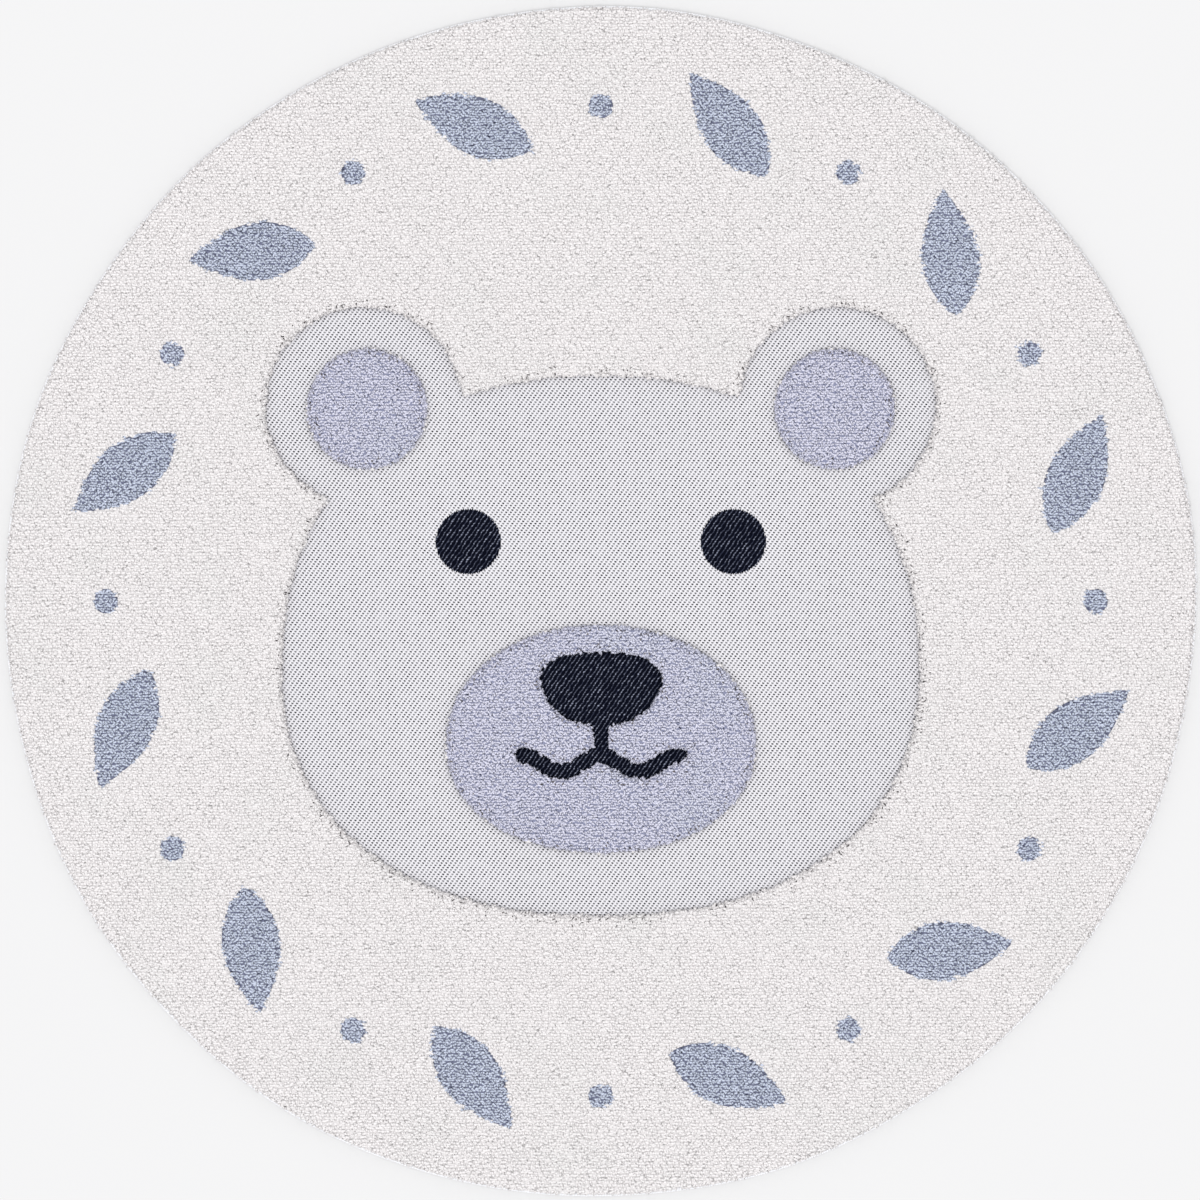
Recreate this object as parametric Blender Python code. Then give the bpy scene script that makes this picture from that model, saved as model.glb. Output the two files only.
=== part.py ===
"""Round kids' rug with an animal's face in high and low relief.

The rug is woven in one piece: curly cut pile for the ground, the muzzle and the insides of the ears, and
low flatweave for the head, the ears, the nose and the mouth. A yarn is sewn round and round its cut edge.

Units are metres and +Z is up. The origin is the middle of the underside, and +Y is the top of the face.
"""
import math
from collections import namedtuple

import bmesh
import bpy

Level = namedtuple("Level", "inset height")          # a step of a section: how far in, and how high
Wave = namedtuple("Wave", "lobes depth turn_deg")    # one part of the rim's unevenness
Oval = namedtuple("Oval", "x y half_width half_height squareness taper segments")
Scallops = namedtuple("Scallops", "y reach dip steps")

# The rug as a whole
DIAMETER = 1.600
PILE_TOP = 0.0120         # pile tips above the floor
FLAT_TOP = 0.0040         # flatweave above the floor
GAP = 0.0003              # between the rug and its edge yarn
RIM_SEGMENTS = 144
RIM_WAVES = (             # a cut and oversewn edge is never quite round
    Wave(lobes=2, depth=0.0012, turn_deg=25),
    Wave(lobes=3, depth=0.0010, turn_deg=80),
    Wave(lobes=5, depth=0.0009, turn_deg=10),
    Wave(lobes=9, depth=0.0007, turn_deg=32),
    Wave(lobes=14, depth=0.0005, turn_deg=5),
)

# The rug's cut edge: a thin lip that the edge yarn grips
LIP_INSET = 0.0018
LIP_BOTTOM = 0.0015
LIP_TOP = 0.0038
REBATE_INSET = 0.0120     # underside lifted this far in, for the yarn's lower side
PILE_FOOT_INSET = 0.0060
BULGE_INSET = 0.0046      # pile leans out over the edge yarn
BULGE_HEIGHT = 0.0064

# Pile edges, at the rim and round each sunken part
SHOULDER_HEIGHT = 0.0085
SHOULDER_DROP = 0.0012
CROWN_INSET = 0.0040
SHOULDER_INSET = 0.0012

# The edge yarn's section
YARN_TOP = 0.0053
YARN_ROUNDING = 0.0012
YARN_GRIP_INSET = 0.0047

# The face: sunken flatweave
HEAD = Oval(x=0.0, y=-0.060, half_width=0.430, half_height=0.365, squareness=2.25, taper=-0.05, segments=96)
EAR = Oval(x=0.318, y=0.262, half_width=0.135, half_height=0.135, squareness=2.0, taper=0.0, segments=48)

# Raised pile islands on it
MUZZLE = Oval(x=0.0, y=-0.185, half_width=0.205, half_height=0.150, squareness=2.1, taper=-0.04, segments=64)
EAR_PAD = Oval(x=0.314, y=0.258, half_width=0.078, half_height=0.078, squareness=2.0, taper=0.0, segments=36)

# Flatweave sunk into the muzzle
NOSE = Oval(x=0.0, y=-0.118, half_width=0.082, half_height=0.052, squareness=2.3, taper=0.20, segments=36)
MOUTH_WIDTH = 0.026
MOUTH = Scallops(y=-0.207, reach=0.105, dip=0.022, steps=28)
PHILTRUM_TOP = -0.150     # inside the nose
PHILTRUM_STOP = 0.004     # short of the mouth's middle line
END_STEPS = 6             # facets of a stroke's round end

BACKING_HIDDEN = 0.0020   # islands start inside the backing
CLEAR_ABOVE = 0.0050      # cutters stand this far out of the pile


def rim_points(inset):
    """Points of the uneven rim, moved in by inset, round a centre that puts the rug's box about the origin."""
    points = []
    for step in range(RIM_SEGMENTS):
        angle = math.tau * step / RIM_SEGMENTS
        wave = sum(w.depth * math.sin(w.lobes * angle + math.radians(w.turn_deg)) for w in RIM_WAVES)
        points.append((angle, DIAMETER / 2 + wave))
    outer = [(radius * math.cos(angle), radius * math.sin(angle)) for angle, radius in points]
    middle = [(min(side) + max(side)) / 2 for side in zip(*outer)]
    return [
        ((radius - inset) * math.cos(angle) - middle[0], (radius - inset) * math.sin(angle) - middle[1])
        for angle, radius in points
    ]


def signed_power(value, power):
    return math.copysign(abs(value) ** power, value)


def oval_points(shape, grow, mirror=False):
    """Counter-clockwise points of a squarish oval, moved out by grow. A positive taper widens its top."""
    side = -1 if mirror else 1
    points = []
    for step in range(shape.segments):
        angle = math.tau * (step + 0.5) / shape.segments
        across = signed_power(math.cos(angle), 2 / shape.squareness)
        up = signed_power(math.sin(angle), 2 / shape.squareness)
        x = side * shape.x + (shape.half_width + grow) * across * (1 + shape.taper * up)
        points.append((x, shape.y + (shape.half_height + grow) * up))
    return points


def scallop_path(shape):
    """Points from left to right along two shallow scallops that meet in a soft point in the middle."""
    path = []
    for step in range(shape.steps + 1):
        across = 2 * step / shape.steps - 1
        path.append((shape.reach * across, shape.y - shape.dip * math.sin(math.pi * across) ** 2))
    return path


def stroke_points(path, half_width):
    """Points round a band along a path, with round ends: one side out, an end, the other side back, an end."""
    headings = []
    for index in range(len(path)):
        before = path[max(index - 1, 0)]
        after = path[min(index + 1, len(path) - 1)]
        headings.append(math.atan2(after[1] - before[1], after[0] - before[0]))

    def beside(index, turn):
        x, y = path[index]
        direction = headings[index] + turn
        return x + half_width * math.cos(direction), y + half_width * math.sin(direction)

    quarter = math.pi / 2
    last = len(path) - 1
    points = [beside(index, -quarter) for index in range(last + 1)]
    points += [beside(last, -quarter + math.pi * step / END_STEPS) for step in range(1, END_STEPS)]
    points += [beside(index, quarter) for index in range(last, -1, -1)]
    points += [beside(0, quarter + math.pi * step / END_STEPS) for step in range(1, END_STEPS)]
    return points


def add_object(name, shell, material=None):
    """Turns a finished bmesh into an object with smooth sides and sharp edges."""
    bmesh.ops.recalc_face_normals(shell, faces=shell.faces)
    mesh = bpy.data.meshes.new(name)
    shell.to_mesh(mesh)
    shell.free()
    mesh.shade_smooth()
    mesh.set_sharp_from_angle(angle=math.radians(35))
    if material:
        mesh.materials.append(material)
    thing = bpy.data.objects.new(name, mesh)
    bpy.context.collection.objects.link(thing)
    return thing


def add_loop(shell, points, height):
    """The vertices of a closed loop at one height."""
    return [shell.verts.new((x, y, height)) for x, y in points]


def add_strip(shell, lower, upper):
    """A strip of four-sided faces between two loops with as many vertices."""
    for index in range(len(lower)):
        shell.faces.new((lower[index - 1], lower[index], upper[index], upper[index - 1]))


def stacked_solid(name, layers, material=None):
    """A closed body through layers of (outline points, height), from the lowest to the highest."""
    shell = bmesh.new()
    loops = [add_loop(shell, points, height) for points, height in layers]
    for lower, upper in zip(loops, loops[1:]):
        add_strip(shell, lower, upper)
    bmesh.ops.holes_fill(shell, edges=shell.edges)
    return add_object(name, shell, material)


def ring_solid(name, layers, material):
    """A closed ring whose section runs through the layers and back from the last to the first."""
    shell = bmesh.new()
    loops = [add_loop(shell, points, height) for points, height in layers]
    for one, other in zip(loops, loops[1:] + loops[:1]):
        add_strip(shell, one, other)
    return add_object(name, shell, material)


def apply_cut(target, tool, operation):
    """Cuts a tool out of the target, or joins it on, and keeps the tool as a hidden guide."""
    tool.hide_render = True
    tool.display_type = "WIRE"
    boolean = target.modifiers.new(tool.name, "BOOLEAN")
    boolean.operation = operation
    boolean.solver = "EXACT"
    boolean.object = tool


def sunken(name, outline):
    """A cutter from the flatweave up through the pile, whose walls lean back into the pile's rounded edge."""
    crown_slope = CROWN_INSET - SHOULDER_INSET
    levels = (
        Level(inset=0.0, height=FLAT_TOP),
        Level(inset=0.0, height=SHOULDER_HEIGHT),
        Level(inset=SHOULDER_INSET, height=PILE_TOP - SHOULDER_DROP),
        Level(inset=CROWN_INSET + crown_slope, height=PILE_TOP + SHOULDER_DROP),
        Level(inset=CROWN_INSET + crown_slope, height=PILE_TOP + CLEAR_ABOVE),
    )
    return stacked_solid(name, [(outline(level.inset), level.height) for level in levels])


def raised(name, outline):
    """An island of pile, from inside the backing to the pile's top, with the same rounded edge."""
    levels = (
        Level(inset=0.0, height=BACKING_HIDDEN),
        Level(inset=0.0, height=SHOULDER_HEIGHT),
        Level(inset=SHOULDER_INSET, height=PILE_TOP - SHOULDER_DROP),
        Level(inset=CROWN_INSET, height=PILE_TOP),
    )
    return stacked_solid(name, [(outline(-level.inset), level.height) for level in levels])


def woven_rug(material):
    """The whole woven piece: a slab with pile edges, a sunken face, pile islands and a sunken nose and mouth."""
    levels = (
        Level(inset=REBATE_INSET, height=0.0),
        Level(inset=REBATE_INSET, height=LIP_BOTTOM),
        Level(inset=LIP_INSET, height=LIP_BOTTOM),
        Level(inset=LIP_INSET, height=LIP_TOP),
        Level(inset=PILE_FOOT_INSET, height=LIP_TOP),
        Level(inset=BULGE_INSET, height=BULGE_HEIGHT),
        Level(inset=BULGE_INSET, height=SHOULDER_HEIGHT),
        Level(inset=BULGE_INSET + SHOULDER_INSET, height=PILE_TOP - SHOULDER_DROP),
        Level(inset=BULGE_INSET + CROWN_INSET, height=PILE_TOP),
    )
    layers = [(rim_points(level.inset), level.height) for level in levels]
    rug = stacked_solid("woven_rug", layers, material)

    apply_cut(rug, sunken("head_cut", lambda grow: oval_points(HEAD, grow)), "DIFFERENCE")
    for side, mirror in (("left", True), ("right", False)):
        ear = sunken(f"ear_cut_{side}", lambda grow: oval_points(EAR, grow, mirror))
        apply_cut(rug, ear, "DIFFERENCE")
        pad = raised(f"ear_pad_{side}", lambda grow: oval_points(EAR_PAD, grow, mirror))
        apply_cut(rug, pad, "UNION")
    apply_cut(rug, raised("muzzle_pad", lambda grow: oval_points(MUZZLE, grow)), "UNION")

    half = MOUTH_WIDTH / 2
    mouth = scallop_path(MOUTH)
    philtrum = [(0.0, PHILTRUM_TOP), (0.0, MOUTH.y + PHILTRUM_STOP)]
    apply_cut(rug, sunken("nose_cut", lambda grow: oval_points(NOSE, grow)), "DIFFERENCE")
    apply_cut(rug, sunken("philtrum_cut", lambda grow: stroke_points(philtrum, half + grow)), "DIFFERENCE")
    apply_cut(rug, sunken("mouth_cut", lambda grow: stroke_points(mouth, half + grow)), "DIFFERENCE")
    return rug


def edge_binding(material):
    """The yarn oversewn round the cut edge: a ring that grips the rug's lip from above, outside and below."""
    grip_end = PILE_FOOT_INSET - 2 * GAP
    web = LIP_INSET - GAP
    levels = (
        Level(inset=REBATE_INSET - GAP, height=0.0),
        Level(inset=YARN_ROUNDING, height=0.0),
        Level(inset=0.0, height=YARN_ROUNDING),
        Level(inset=0.0, height=YARN_TOP - YARN_ROUNDING),
        Level(inset=YARN_ROUNDING, height=YARN_TOP),
        Level(inset=YARN_GRIP_INSET, height=YARN_TOP),
        Level(inset=grip_end, height=LIP_TOP + GAP),
        Level(inset=web, height=LIP_TOP + GAP),
        Level(inset=web, height=LIP_BOTTOM - GAP),
        Level(inset=REBATE_INSET - GAP, height=LIP_BOTTOM - GAP),
    )
    layers = [(rim_points(level.inset), level.height) for level in levels]
    return ring_solid("edge_binding", layers, material)


def cloth_material(name, colour, roughness):
    """A plain cloth finish with one colour (linear red, green, blue)."""
    material = bpy.data.materials.new(name)
    material.use_nodes = True
    shader = material.node_tree.nodes["Principled BSDF"]
    shader.inputs["Base Color"].default_value = (*colour, 1.0)
    shader.inputs["Roughness"].default_value = roughness
    shader.inputs["Metallic"].default_value = 0.0
    material.diffuse_color = (*colour, 1.0)
    return material


def build():
    for thing in list(bpy.data.objects):
        bpy.data.objects.remove(thing, do_unlink=True)
    woven_rug(cloth_material("cream_pile", (0.79, 0.76, 0.77), 0.95))
    edge_binding(cloth_material("edge_yarn", (0.82, 0.81, 0.84), 0.85))


build()
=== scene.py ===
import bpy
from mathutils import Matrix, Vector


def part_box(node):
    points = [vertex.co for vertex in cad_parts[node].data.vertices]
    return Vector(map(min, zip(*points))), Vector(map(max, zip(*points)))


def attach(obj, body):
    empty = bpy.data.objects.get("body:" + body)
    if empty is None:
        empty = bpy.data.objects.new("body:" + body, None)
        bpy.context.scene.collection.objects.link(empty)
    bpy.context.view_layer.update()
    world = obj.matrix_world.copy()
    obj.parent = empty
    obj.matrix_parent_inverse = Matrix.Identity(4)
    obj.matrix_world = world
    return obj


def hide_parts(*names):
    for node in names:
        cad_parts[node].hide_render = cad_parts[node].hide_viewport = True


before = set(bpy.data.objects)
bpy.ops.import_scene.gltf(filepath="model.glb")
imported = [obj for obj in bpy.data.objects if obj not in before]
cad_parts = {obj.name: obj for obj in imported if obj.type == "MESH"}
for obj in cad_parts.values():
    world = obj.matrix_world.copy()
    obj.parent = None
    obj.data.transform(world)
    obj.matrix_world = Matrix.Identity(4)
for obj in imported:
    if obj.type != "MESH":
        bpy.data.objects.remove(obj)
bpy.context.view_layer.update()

import math

import bmesh
import bpy
import numpy as np

# A round kids' rug with an animal's face: curly cut pile, a sunken flatwoven face and an oversewn edge.
# All lengths are in metres, and mm makes the small ones of yarn and weave readable.
mm = 0.001
chance = np.random.default_rng(41)

# The head, ears, muzzle, nose and mouth stand where they stand in the solids; the eyes and the wreath are
# colour alone. Squareness 2 is an oval and more is boxier; a taper above 0 widens a shape towards its top.
head = {"x": 0.0, "y": -0.060, "halfWidth": 0.430, "halfHeight": 0.365, "squareness": 2.25, "taper": -0.05}
ear = {"x": 0.318, "y": 0.262, "halfWidth": 0.135, "halfHeight": 0.135, "squareness": 2.0, "taper": 0.0}
muzzle = {"x": 0.0, "y": -0.185, "halfWidth": 0.205, "halfHeight": 0.150, "squareness": 2.1, "taper": -0.04}
earPad = {"x": 0.314, "y": 0.258, "halfWidth": 0.078, "halfHeight": 0.078, "squareness": 2.0, "taper": 0.0}
nose = {"x": 0.0, "y": -0.118, "halfWidth": 0.082, "halfHeight": 0.052, "squareness": 2.3, "taper": 0.20}
eye = {"x": 0.178, "y": 0.080, "halfWidth": 0.044, "halfHeight": 0.044, "squareness": 2.0, "taper": 0.0}
mouth = {"y": -0.207, "reach": 0.105, "dip": 0.022, "width": 0.026, "steps": 28}
philtrum = {"top": -0.150, "stop": 0.004}
wreath = {
    "leaves": 12, "radius": 0.662, "length": 0.172, "halfWidth": 0.039,
    "tilt": math.radians(52),           # how far a leaf leans from pointing straight outwards
    "firstAt": math.radians(15),
    "belly": 0.85, "fullness": 0.9,     # below 1: widest nearer the stalk, and rounder sides
    "berryRadius": 0.664, "berrySize": 0.0165, "berryAt": 0.0,
}


def ovalDepth(x, y, oval):
    # metres inside a squarish oval, along the ray from its centre: distance / f - distance, where
    # f = (|across|^n + |up|^n)^(1/n) is 1 on the outline
    up = (y - oval["y"]) / oval["halfHeight"]
    across = (np.abs(x) - oval["x"] if oval["x"] else x) / (oval["halfWidth"] * (1 + oval["taper"] * up))
    n = oval["squareness"]
    f = np.maximum((np.abs(across) ** n + np.abs(up) ** n) ** (1 / n), 1e-6)
    distance = np.hypot(np.abs(x) - oval["x"], y - oval["y"])
    return distance / f - distance


def strokeDepth(x, y, path, width):
    # half the band's width less the distance to the nearest leg of its middle line
    nearest = np.full(np.shape(x), np.inf)
    for (ax, ay), (bx, by) in zip(path, path[1:]):
        legX, legY = bx - ax, by - ay
        along = np.clip(((x - ax) * legX + (y - ay) * legY) / (legX ** 2 + legY ** 2), 0, 1)
        nearest = np.minimum(nearest, np.hypot(x - ax - along * legX, y - ay - along * legY))
    return width / 2 - nearest


# the mouth is two scallops side by side, y - dip sin(pi across)^2, and the philtrum a short line down to it
across = np.linspace(-1, 1, mouth["steps"] + 1)
mouthPath = list(zip(mouth["reach"] * across, mouth["y"] - mouth["dip"] * np.sin(np.pi * across) ** 2))
philtrumPath = [(0.0, philtrum["top"]), (0.0, mouth["y"] + philtrum["stop"])]


def faceDepth(x, y):
    # metres inside the sunken face: the deeper of the head and the ears
    return np.maximum(ovalDepth(x, y, head), ovalDepth(x, y, ear))


def islandDepth(x, y):
    # metres inside the raised islands: the deeper of the muzzle and the ear pads
    return np.maximum(ovalDepth(x, y, muzzle), ovalDepth(x, y, earPad))


def noseAndMouthDepth(x, y):
    # metres inside the sunken charcoal: the deepest of the nose, the philtrum and the mouth
    lines = np.maximum(strokeDepth(x, y, philtrumPath, mouth["width"]),
                       strokeDepth(x, y, mouthPath, mouth["width"]))
    return np.maximum(ovalDepth(x, y, nose), lines)


def pileDepth(x, y):
    # metres inside the high pile, the rim apart: the ground and the islands, less the nose and mouth
    return np.minimum(np.maximum(-faceDepth(x, y), islandDepth(x, y)), -noseAndMouthDepth(x, y))


def nearestPlace(x, y, firstAt):
    # the wreath repeats in equal sectors: metres outwards, and sideways from the nearest one's middle line
    sector = 2 * math.pi / wreath["leaves"]
    angle = np.arctan2(y, x) - firstAt
    angle = angle - sector * np.round(angle / sector)
    radius = np.hypot(x, y)
    return radius * np.cos(angle), radius * np.sin(angle)


def leafHalfWidth(along):
    # pointed at both ends, 0 and 1: halfWidth sin(pi along^belly)^fullness
    share = np.sin(np.pi * np.clip(along, 0, 1) ** wreath["belly"]) ** wreath["fullness"]
    return wreath["halfWidth"] * share


def leafDepth(x, y):
    # metres inside the blade: its half width there less the distance from its midrib, and past its ends
    # minus the distance to the point
    outward, sideways = nearestPlace(x, y, wreath["firstAt"])
    outward = outward - wreath["radius"]
    forward = outward * math.cos(wreath["tilt"]) + sideways * math.sin(wreath["tilt"])
    aside = sideways * math.cos(wreath["tilt"]) - outward * math.sin(wreath["tilt"])
    beyond = np.abs(forward) - wreath["length"] / 2
    blade = leafHalfWidth(forward / wreath["length"] + 0.5) - np.abs(aside)
    return np.where(beyond > 0, -np.hypot(aside, beyond), blade)


def berryDepth(x, y):
    # the dot's radius less the distance from its middle
    outward, sideways = nearestPlace(x, y, wreath["berryAt"])
    return wreath["berrySize"] - np.hypot(outward - wreath["berryRadius"], sideways)


def wreathDepth(x, y):
    # metres inside the nearest leaf or dot
    return np.maximum(leafDepth(x, y), berryDepth(x, y))


def rimTable(node, steps=144):
    # the rug's outline as radius against angle: the furthest point of the edge ring at each step round
    flat = np.empty(len(node.data.vertices) * 3, np.float32)
    node.data.vertices.foreach_get("co", flat)
    x, y = flat.reshape(-1, 3).astype(float).T[:2]
    nearest = np.round(np.arctan2(y, x) / (2 * np.pi) * steps).astype(int) % steps
    furthest = np.zeros(steps)
    np.maximum.at(furthest, nearest, np.hypot(x, y))
    return 2 * np.pi * np.arange(steps) / steps, furthest


rimAngles, rimRadii = rimTable(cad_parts["edge_binding"])


def rimRadius(angle):
    # the outline's radius, straight from one step of the table to the next
    return np.interp(angle, rimAngles, rimRadii, period=2 * np.pi)


def rimDepth(x, y):
    # metres inside the outline: its radius there less the distance from the middle
    return rimRadius(np.arctan2(y, x)) - np.hypot(x, y)


def linear(hexColour):
    # sRGB hex to linear light
    parts = [int(hexColour[i:i + 2], 16) / 255 for i in (1, 3, 5)]
    return tuple(c / 12.92 if c <= 0.04045 else ((c + 0.055) / 1.055) ** 2.4 for c in parts) + (1.0,)


def addNode(tree, kind, options=None, inputs=None):
    # one node: options are its own settings, and each input is a value or another node's socket
    node = tree.nodes.new(kind)
    for key, value in (options or {}).items():
        setattr(node, key, value)
    for key, value in (inputs or {}).items():
        if isinstance(value, bpy.types.NodeSocket):
            tree.links.new(value, node.inputs[key])
        else:
            node.inputs[key].default_value = value
    return node


def newMaterial(name, roughness, sheen=0.0, shine=0.12):
    # a fibre's shader: polypropylene has an IOR of 1.49, but among thousands of fibres most of its shine is
    # lost in the gaps, and the fuzz of its cut ends gives a faint sheen
    material = bpy.data.materials.new(name)
    material.use_nodes = True
    tree = material.node_tree
    shader = tree.nodes["Principled BSDF"]
    for key, value in {"Roughness": roughness, "Sheen Weight": sheen, "Sheen Roughness": 0.5, "IOR": 1.49,
                       "Specular IOR Level": shine}.items():
        shader.inputs[key].default_value = value
    return material, tree, shader


bands = 2 * math.pi / 20               # the scale at which a wave texture's bands are one unit apart
diagonalBands = 2 * math.pi / 10       # likewise where they run on the diagonal

# each yarn's darker and lighter colour (curls differ between them at random, and the darker is painted
# shade at a curl's ends), the painted shade in its grooves, its patches and how strongly the patches show
pileColours = {
    "cream": ("#EDE9E8", "#F2EEED", "#C2BFBF", "#E2E4E0", 0.25),
    "blueGrey": ("#4C5164", "#D3DAEB", "#262933", "#B5BED0", 0.4),
    "lilac": ("#B2B4CC", "#DFDEED", "#1C1E2B", "#CFD5E2", 0.35),
    "darkGround": ("#3E3A3C", "#8C8685", "#CFC9C8", "#6C6666", 0.3),
}
ply = {
    "pitch": 3.4,              # from groove to groove on the yarn's map, where 1 is about a millimetre
    "slant": 0.8,              # how much the grooves lean across the yarn
    "unevenness": 2.0,
    "groove": 0.3,             # how far up the wave from ridge to ridge the groove reaches, 0 to 1
    "relief": 0.2 * mm, "reliefStrength": 0.6,
    "openSize": 4.0 * mm,      # the twist stands open, and painted shade darkens its grooves, in spots of this size
    "openShare": (0.42, 0.58),
}
patch = {"scale": 9.0, "share": (0.5, 0.75)}       # faint patches of about 110 mm, as the yarn's dye varies


def pileYarn(name, shade, light, groove, patchColour, patchShare):
    # Heat-set polypropylene frieze yarn, twisted from two plies, set in curls and cut. It is matt, and each
    # curl keeps its own tone, with painted shade at its ends. Its plies cross it as slanting ridges with
    # grooves between, in which shade is painted, darkest where the twist stands open. The real grooves are
    # about 2 mm apart, and are drawn at 3.4 mm so that they show.
    material, tree, shader = newMaterial(name, roughness=0.85, sheen=0.06)
    tone = addNode(tree, "ShaderNodeAttribute", {"attribute_name": "tone"}).outputs["Fac"]
    place = addNode(tree, "ShaderNodeTexCoord").outputs["Object"]
    patches = addNode(tree, "ShaderNodeTexNoise", None,
                      {"Vector": place, "Scale": patch["scale"], "Detail": 2.0}).outputs["Fac"]
    share = addNode(tree, "ShaderNodeMapRange", None,
                    {"Value": patches, "From Min": patch["share"][0], "From Max": patch["share"][1],
                     "To Max": patchShare}).outputs[0]
    yarn = addNode(tree, "ShaderNodeMix", {"data_type": "RGBA"},
                   {0: tone, 6: linear(shade), 7: linear(light)}).outputs[2]
    patchy = addNode(tree, "ShaderNodeMix", {"data_type": "RGBA"},
                     {0: share, 6: yarn, 7: linear(patchColour)}).outputs[2]

    alongYarn = addNode(tree, "ShaderNodeUVMap", {"uv_map": "yarn"}).outputs["UV"]
    slanted = addNode(tree, "ShaderNodeMapping", None,
                      {"Vector": alongYarn, "Scale": (1.0, ply["slant"], 1.0)}).outputs[0]
    waves = addNode(tree, "ShaderNodeTexWave", {"bands_direction": "DIAGONAL"},
                    {"Vector": slanted, "Scale": diagonalBands / ply["pitch"],
                     "Distortion": ply["unevenness"], "Detail": 1.0}).outputs["Fac"]
    ridge = addNode(tree, "ShaderNodeMapRange", {"interpolation_type": "SMOOTHSTEP"},
                    {"Value": waves, "From Max": ply["groove"]}).outputs[0]
    depth = addNode(tree, "ShaderNodeMath", {"operation": "SUBTRACT"}, {0: 1.0, 1: ridge}).outputs[0]
    spots = addNode(tree, "ShaderNodeTexNoise", None,
                    {"Vector": place, "Scale": 1 / ply["openSize"], "Detail": 1.0}).outputs["Fac"]
    openTwistShade = addNode(tree, "ShaderNodeMapRange", None,
                        {"Value": spots, "From Min": ply["openShare"][0],
                         "From Max": ply["openShare"][1]}).outputs[0]
    # painted shade: the grooves darken, most where the twist stands open
    dark = addNode(tree, "ShaderNodeMath", {"operation": "MULTIPLY"}, {0: depth, 1: openTwistShade}).outputs[0]
    grooveShaded = addNode(tree, "ShaderNodeMix", {"data_type": "RGBA", "blend_type": "MULTIPLY"},
                      {0: dark, 6: patchy, 7: linear(groove)}).outputs[2]
    tree.links.new(grooveShaded, shader.inputs["Base Color"])
    bump = addNode(tree, "ShaderNodeBump", None,
                   {"Height": ridge, "Strength": ply["reliefStrength"], "Distance": ply["relief"]})
    tree.links.new(bump.outputs[0], shader.inputs["Normal"])
    return material


# each bed's shadows and lit stems
bedColours = {
    "cream": ("#A19D9C", "#E2DEDD"),
    "blueGrey": ("#222638", "#70748A"),
    "lilac": ("#1E2133", "#8C8FA7"),
}
stems = {
    "size": 3.6 * mm, "detail": 1.5, "curl": 1.4, "darkShare": (0.28, 0.42),
    "relief": 1.6 * mm, "reliefStrength": 0.9,
}


def pileBed(name, shade, light):
    # The same yarn lower down, between the curls that show: its stems stand close together in shadow, so
    # the eye sees a darker, speckled ground. Stems are about 2.5 mm thick, and are drawn at 3.6 mm so that
    # they show.
    material, tree, shader = newMaterial(name, roughness=0.95)
    place = addNode(tree, "ShaderNodeTexCoord").outputs["Object"]
    tops = addNode(tree, "ShaderNodeTexNoise", None,
                   {"Vector": place, "Scale": 1 / stems["size"], "Detail": stems["detail"],
                    "Distortion": stems["curl"]}).outputs["Fac"]
    lit = addNode(tree, "ShaderNodeMapRange", None,
                  {"Value": tops, "From Min": stems["darkShare"][0],
                   "From Max": stems["darkShare"][1]}).outputs[0]
    mixed = addNode(tree, "ShaderNodeMix", {"data_type": "RGBA"},
                    {0: lit, 6: linear(shade), 7: linear(light)})
    tree.links.new(mixed.outputs[2], shader.inputs["Base Color"])
    bump = addNode(tree, "ShaderNodeBump", None,
                   {"Height": lit, "Strength": stems["reliefStrength"], "Distance": stems["relief"]})
    tree.links.new(bump.outputs[0], shader.inputs["Normal"])
    return material


weave = {
    "column": 6.2 * mm,        # two warp columns of 3.1 mm, 320 a metre
    "row": 3.02 * mm,
    "step": 1 / 3,             # each row's dots stand a third of a column further right than those below
    "white": "#EDEBEE", "thread": "#D8D6DA",
    "threadShare": 0.8,        # how much of the duller thread shows between two warp columns
    "dot": "#040406", "dotLong": 1.82 * mm, "dotWide": 1.11 * mm, "dotTurn": math.radians(-21),
    "dotSoft": (1.12, 0.64),   # where a dot's edge begins and where it is full, as shares of its size
    "dotLuck": 0.35,           # how much paler than the darkest a dot may be
    "line": 0.18,              # how dark the faint slanting line is that joins the dots
    "lineEdge": 0.3,           # how far from it the line fades out, where 1 is a column
    "charcoal": "#040614", "charcoalLight": "#272B3C", "fleck": "#B4BACE",
    "fleckEdge": (0.2, 0.04),  # how far from its middle the line of flecks begins and is full, likewise
    "fleckWander": 0.9,
    "runLength": 6.0 * mm, "runShare": (0.3, 0.62), "runLeast": 0.1,       # flecks are brighter in runs
    "tooth": 2.0 * mm, "toothSoft": 0.35 * mm,
    "warpRelief": 0.4, "relief": 0.7 * mm, "reliefStrength": 0.6,
}


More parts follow.
